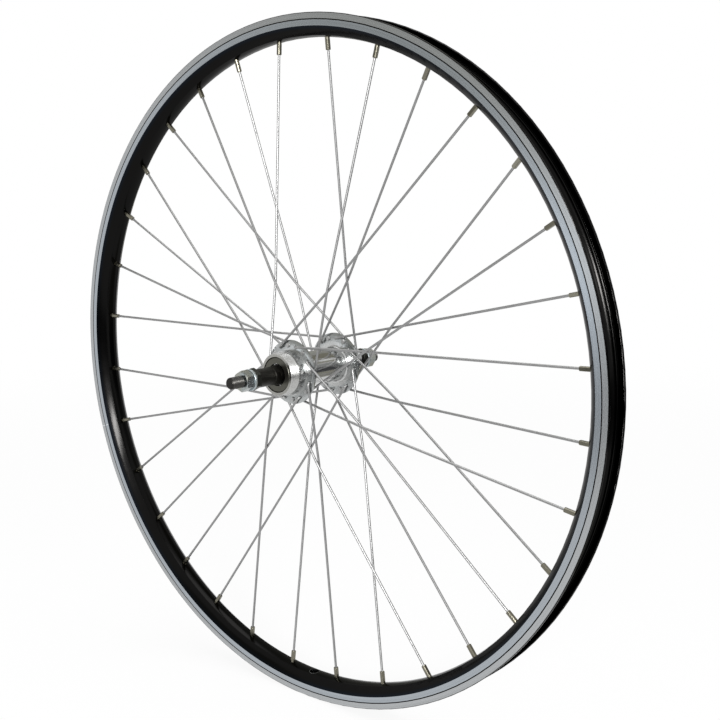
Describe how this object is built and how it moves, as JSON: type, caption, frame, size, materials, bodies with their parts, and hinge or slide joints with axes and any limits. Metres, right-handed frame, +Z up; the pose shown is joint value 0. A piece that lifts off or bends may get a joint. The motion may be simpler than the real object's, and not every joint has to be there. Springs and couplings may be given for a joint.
{
  "type": "bicycle wheel",
  "caption": "Spoked rear bicycle wheel with a black rim, silver brake tracks, polished hub with a freewheel thread, and a solid axle with nuts; no tyre.",
  "frame": {"origin": "middle of the rim and of the tyre's seat, on the axle's centre line", "axes": "Y along the axle with the drive side at -Y, Z up, X across; the valve hole is at -Z"},
  "size_m": [0.5706, 0.175, 0.5706],
  "materials": {
    "rim_black": "glossy black anodised, with bare machined brake tracks on both sides",
    "spoke_steel": "drawn stainless steel",
    "nipple_brass": "nickel plated brass",
    "hub_polished": "polished aluminium",
    "axle_steel": "dark threaded steel",
    "bearing_steel": "hardened and ground steel",
    "cap_steel": "plated pressed steel",
    "black_steel": "black oxide",
    "zinc_steel": "zinc plated"
  },
  "bodies": {
    "axle_set": {"axle": "axle_steel", "drive_spacer": "black_steel", "drive_cone": "black_steel", "drive_lock_washer": "black_steel", "drive_locknut": "black_steel", "drive_axle_washer": "zinc_steel", "drive_axle_nut": "zinc_steel", "non_drive_cone": "black_steel", "non_drive_lock_washer": "black_steel", "non_drive_locknut": "black_steel", "non_drive_axle_washer": "zinc_steel", "non_drive_axle_nut": "zinc_steel"},
    "wheel": {"rim": "rim_black", "spoke_01": "spoke_steel", "spoke_02": "spoke_steel", "spoke_03": "spoke_steel", "spoke_04": "spoke_steel", "spoke_05": "spoke_steel", "spoke_06": "spoke_steel", "spoke_07": "spoke_steel", "spoke_08": "spoke_steel", "spoke_09": "spoke_steel", "spoke_10": "spoke_steel", "spoke_11": "spoke_steel", "spoke_12": "spoke_steel", "spoke_13": "spoke_steel", "spoke_14": "spoke_steel", "spoke_15": "spoke_steel", "spoke_16": "spoke_steel", "spoke_17": "spoke_steel", "spoke_18": "spoke_steel", "spoke_19": "spoke_steel", "spoke_20": "spoke_steel", "spoke_21": "spoke_steel", "spoke_22": "spoke_steel", "spoke_23": "spoke_steel", "spoke_24": "spoke_steel", "spoke_25": "spoke_steel", "spoke_26": "spoke_steel", "spoke_27": "spoke_steel", "spoke_28": "spoke_steel", "spoke_29": "spoke_steel", "spoke_30": "spoke_steel", "spoke_31": "spoke_steel", "spoke_32": "spoke_steel", "nipples": "nipple_brass", "hub_shell": "hub_polished", "drive_cup": "bearing_steel", "drive_dust_cap": "cap_steel", "non_drive_cup": "bearing_steel", "non_drive_dust_cap": "cap_steel"},
    "drive_balls": {"drive_balls": "bearing_steel"},
    "non_drive_balls": {"non_drive_balls": "bearing_steel"}
  },
  "joints": [
    {"name": "wheel_spin", "type": "hinge", "parent": "axle_set", "child": "wheel", "pos_m": [0, 0, 0], "axis": [0, 1, 0], "continuous": true},
    {"name": "drive_balls_roll", "type": "hinge", "parent": "axle_set", "child": "drive_balls", "pos_m": [0, 0, 0], "axis": [0, 1, 0], "continuous": true},
    {"name": "non_drive_balls_roll", "type": "hinge", "parent": "axle_set", "child": "non_drive_balls", "pos_m": [0, 0, 0], "axis": [0, 1, 0], "continuous": true}
  ],
  "couplings": [
    {"joint": "drive_balls_roll", "follows": "wheel_spin", "ratio": 0.61723},
    {"joint": "non_drive_balls_roll", "follows": "wheel_spin", "ratio": 0.61723}
  ]
}
